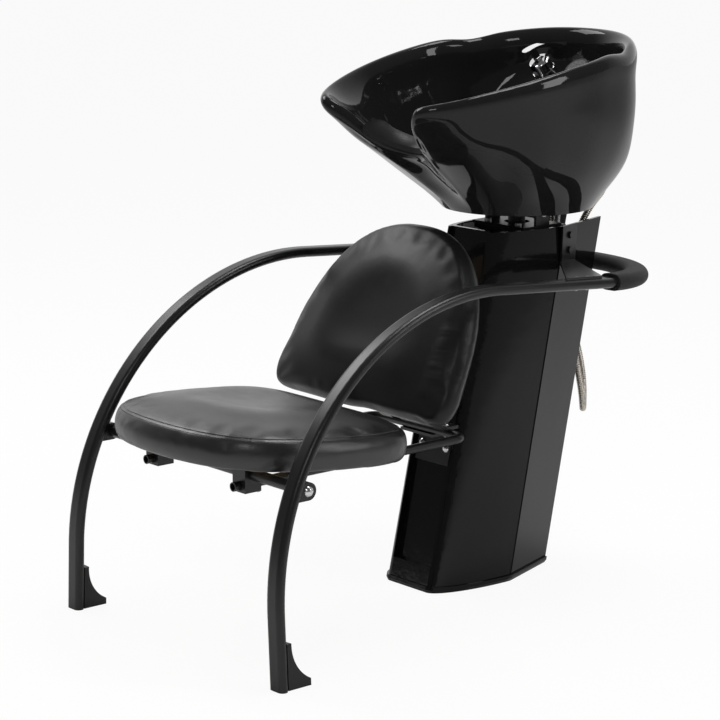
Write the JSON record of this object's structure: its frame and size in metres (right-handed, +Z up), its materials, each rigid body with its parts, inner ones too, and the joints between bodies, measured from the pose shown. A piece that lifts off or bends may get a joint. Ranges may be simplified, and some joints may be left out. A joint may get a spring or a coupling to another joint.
{
  "type": "salon backwash unit",
  "caption": "Black salon hair-washing chair with padded seat and back, bent tube arms, a leaning hollow pedestal and a tilting ceramic basin with tap and hand shower.",
  "frame": {"origin": "centre of the four floor bolt holes at the floor, inside the pedestal's foot", "axes": "+Z up, -Y to the front where the sitter's feet are, +X to the sitter's left"},
  "size_m": [0.615, 1.0526, 0.999],
  "materials": {
    "black_glaze": "gloss glaze",
    "neck_rubber": "soft moulded, satin",
    "gloss_black_shell": "gloss",
    "black_vinyl": "fine grained vinyl",
    "plywood": "raw ply",
    "grip_foam": "matt foam",
    "chrome": "polished",
    "ribbed_steel": "interlocked strip",
    "shower_plastic": "gloss",
    "spray_plastic": "matt with nozzles",
    "braid_rubber": "braided sleeve",
    "waste_plastic": "matt",
    "brass": "turned",
    "toe_plastic": "satin",
    "bright_steel": "domed, bright",
    "zinc_steel": "zinc plated",
    "black_steel": "satin black coat"
  },
  "bodies": {
    "stand": {"arm_bracket_bolts": "black_steel", "arm_bracket_left": "black_steel", "arm_bracket_right": "black_steel", "arm_bracket_screws": "zinc_steel", "arm_tube_left": "black_steel", "arm_tube_right": "black_steel", "backrest_board": "plywood", "backrest_brackets": "black_steel", "backrest_cushion": "black_vinyl", "backrest_screws": "zinc_steel", "bracket_foot_bolts": "bright_steel", "cold_supply_hose": "braid_rubber", "crossbar_bolts": "bright_steel", "crossbar_clamps": "black_steel", "crossbar_lugs": "black_steel", "foot_left": "toe_plastic", "foot_right": "toe_plastic", "foot_screws": "bright_steel", "front_crossbar": "black_steel", "hot_supply_hose": "braid_rubber", "loop_joint_plugs": "zinc_steel", "pedestal_base_plate": "black_steel", "pedestal_posts": "black_steel", "pedestal_shell": "gloss_black_shell", "pedestal_top_plate": "black_steel", "post_cross_plate": "black_steel", "rear_grip_sleeve": "grip_foam", "rear_loop_tube": "black_steel", "seat_board": "plywood", "seat_cushion": "black_vinyl", "seat_frame": "black_steel", "seat_screws": "zinc_steel", "seat_stay": "black_steel", "seat_stay_bolts": "bright_steel", "service_bracket": "zinc_steel", "shower_hose": "ribbed_steel", "supply_inlets": "brass", "tilt_base_bolts": "zinc_steel", "tilt_base_bracket": "black_steel", "tilt_hinge_pins": "zinc_steel", "tube_end_caps": "toe_plastic", "waste_hose": "waste_plastic", "waste_outlet": "waste_plastic"},
    "bowl": {"basin": "black_glaze", "neck_rest": "neck_rubber", "tilt_cradle": "black_steel", "cradle_bolts": "zinc_steel", "drain_flange": "chrome", "drain_body": "waste_plastic", "drain_nut": "waste_plastic", "tap_body": "chrome", "tap_nut": "brass", "hose_guide": "shower_plastic", "hose_guide_nut": "waste_plastic"},
    "tap_swivel": {"tap_cap": "chrome"},
    "tap_lever": {"tap_lever": "chrome"},
    "hand_shower": {"hand_shower": "shower_plastic", "spray_face": "spray_plastic", "shower_ferrule": "chrome"},
    "strainer": {"drain_strainer": "chrome"}
  },
  "joints": [
    {"name": "basin_tilt", "type": "hinge", "parent": "stand", "child": "bowl", "pos_m": [0, 0.09, 0.678], "axis": [1, 0, 0], "range_deg": [-8, 8], "deforming": ["shower_hose", "hot_supply_hose", "cold_supply_hose", "waste_hose"]},
    {"name": "tap_swivel", "type": "hinge", "parent": "bowl", "child": "tap_swivel", "pos_m": [-0.046, 0.19884, 0.9244], "axis": [0, -0.6167, 0.7872], "range_deg": [-40, 40]},
    {"name": "tap_lift", "type": "hinge", "parent": "tap_swivel", "child": "tap_lever", "pos_m": [-0.046, 0.19206, 0.93306], "axis": [1, 0, 0], "range_deg": [0, 25]},
    {"name": "shower_pull", "type": "slide", "parent": "bowl", "child": "hand_shower", "axis": [0, -0.6167, 0.7872], "range_m": [0, 0.05], "deforming": ["shower_hose"]},
    {"name": "strainer_lift", "type": "slide", "parent": "bowl", "child": "strainer", "axis": [0, 0, 1], "range_m": [0, 0.03]}
  ]
}
